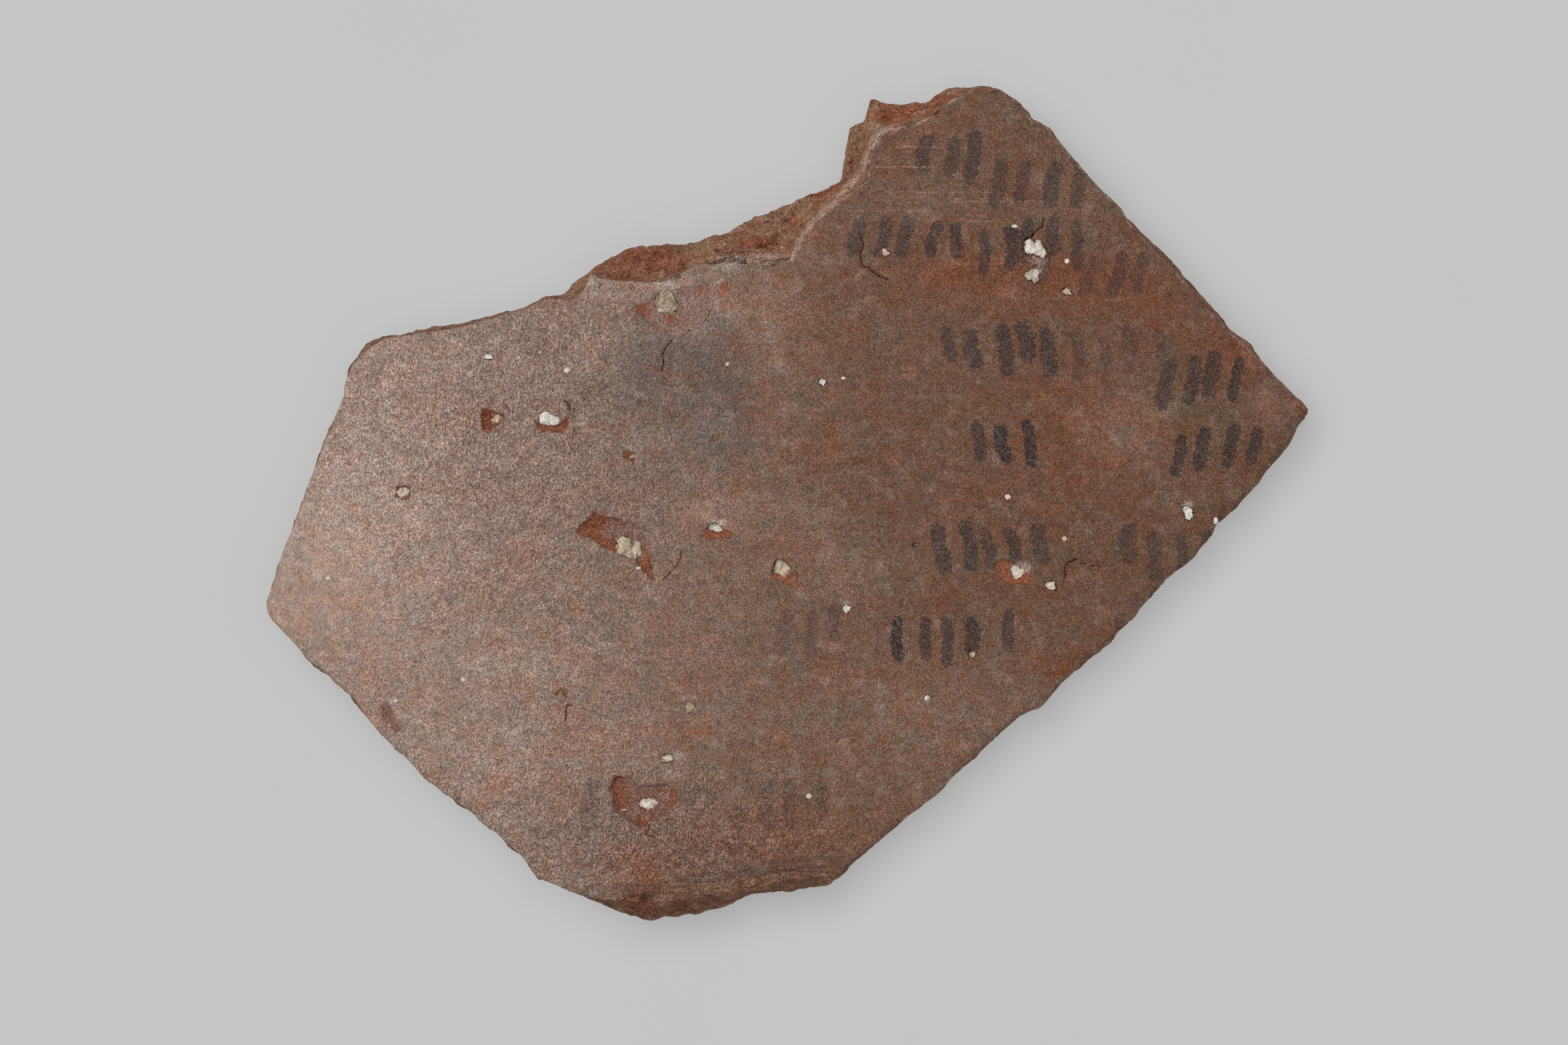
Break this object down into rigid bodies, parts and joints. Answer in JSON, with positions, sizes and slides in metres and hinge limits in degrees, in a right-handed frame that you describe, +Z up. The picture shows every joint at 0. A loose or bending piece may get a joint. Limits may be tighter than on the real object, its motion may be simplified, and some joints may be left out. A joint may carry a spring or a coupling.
{
  "type": "ostracon",
  "caption": "Thick broken jar sherd kept as a writing surface, with faded ink strokes on its curved outer skin and lime grains seated in the clay.",
  "frame": {"origin": "middle of the sherd's box, on the surface that it rests on", "axes": "+X along the sherd's width, +Y along the jar's wheel axis, +Z up out of the outer skin"},
  "size_m": [0.1004, 0.0806, 0.0192],
  "materials": {
    "clay": "matt fired clay, sandy and worn",
    "lime": "chalky and matt"
  },
  "bodies": {
    "root": {"sherd_body": "clay", "lime_grain_01": "lime", "lime_grain_02": "lime", "lime_grain_03": "lime", "lime_grain_04": "lime", "lime_grain_05": "lime", "lime_grain_06": "lime", "lime_grain_07": "lime", "lime_grain_08": "lime", "lime_grain_09": "lime", "lime_grain_10": "lime", "lime_grain_11": "lime", "lime_grain_12": "lime", "lime_grain_13": "lime", "lime_grain_14": "lime", "lime_grain_15": "lime", "lime_grain_16": "lime", "lime_grain_17": "lime", "lime_grain_18": "lime", "lime_grain_19": "lime", "lime_grain_20": "lime", "lime_grain_21": "lime", "lime_grain_22": "lime", "lime_grain_23": "lime"}
  },
  "joints": []
}
